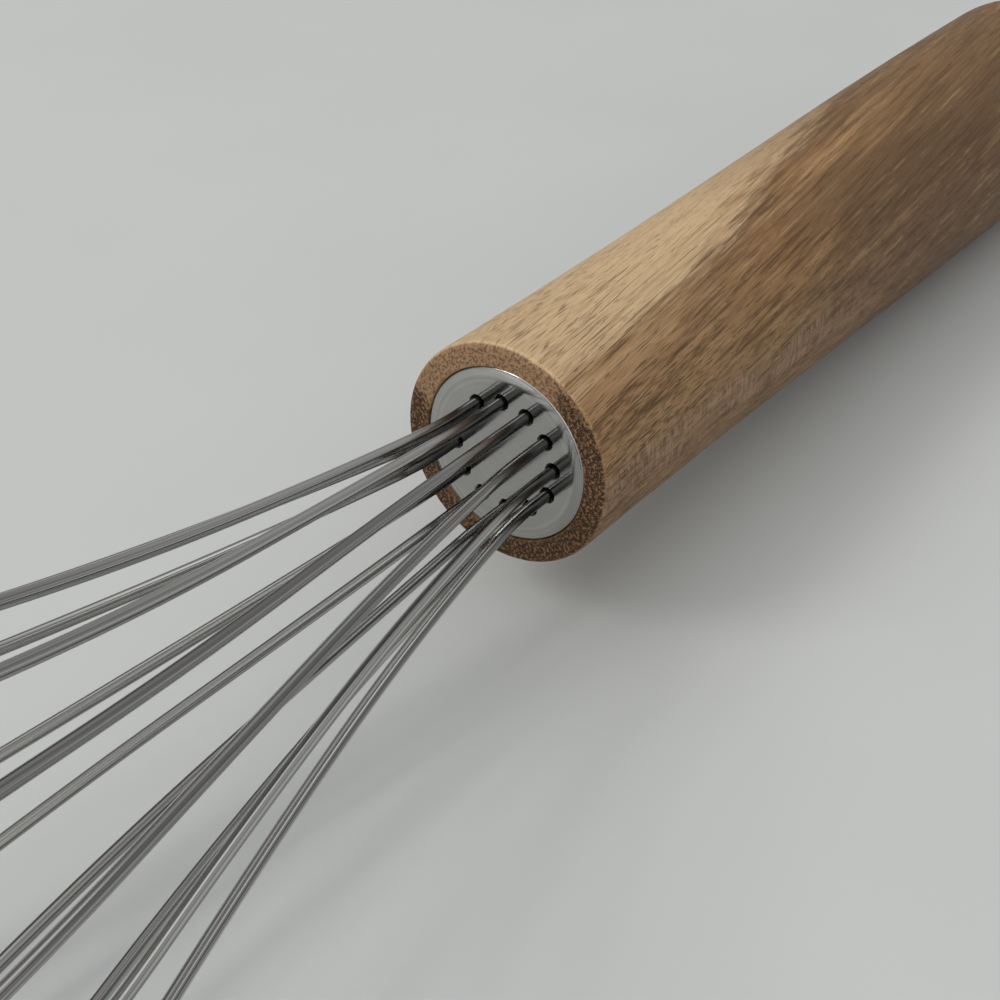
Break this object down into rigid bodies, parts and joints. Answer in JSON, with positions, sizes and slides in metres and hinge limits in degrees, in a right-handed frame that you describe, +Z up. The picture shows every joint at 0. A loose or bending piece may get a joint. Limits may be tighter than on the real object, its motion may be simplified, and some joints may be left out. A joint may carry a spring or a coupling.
{
  "type": "balloon whisk",
  "caption": "Balloon whisk: stiff steel wire loops crossing at the tip, bedded in resin behind a round steel end disc in a turned wooden handle.",
  "frame": {"origin": "middle of the bounding box's footprint, on the surface that the whisk lies on", "axes": "+Z up, +X from the balloon towards the butt of the handle; the handle's axis is tilted 2.7 degrees, balloon end up"},
  "size_m": [0.3108, 0.0566, 0.0556],
  "materials": {
    "handle_wood": "satin, blond sapwood and brown heartwood",
    "disc_steel": "satin, turned",
    "resin": "cast epoxy, smoky amber",
    "wire_steel": "drawn stainless wire, bright satin"
  },
  "bodies": {
    "root": {"handle": "handle_wood", "end_disc": "disc_steel", "resin_plug": "resin", "wire_loop_1": "wire_steel", "wire_loop_2": "wire_steel", "wire_loop_3": "wire_steel", "wire_loop_4": "wire_steel", "wire_loop_5": "wire_steel", "wire_loop_6": "wire_steel"}
  },
  "joints": []
}
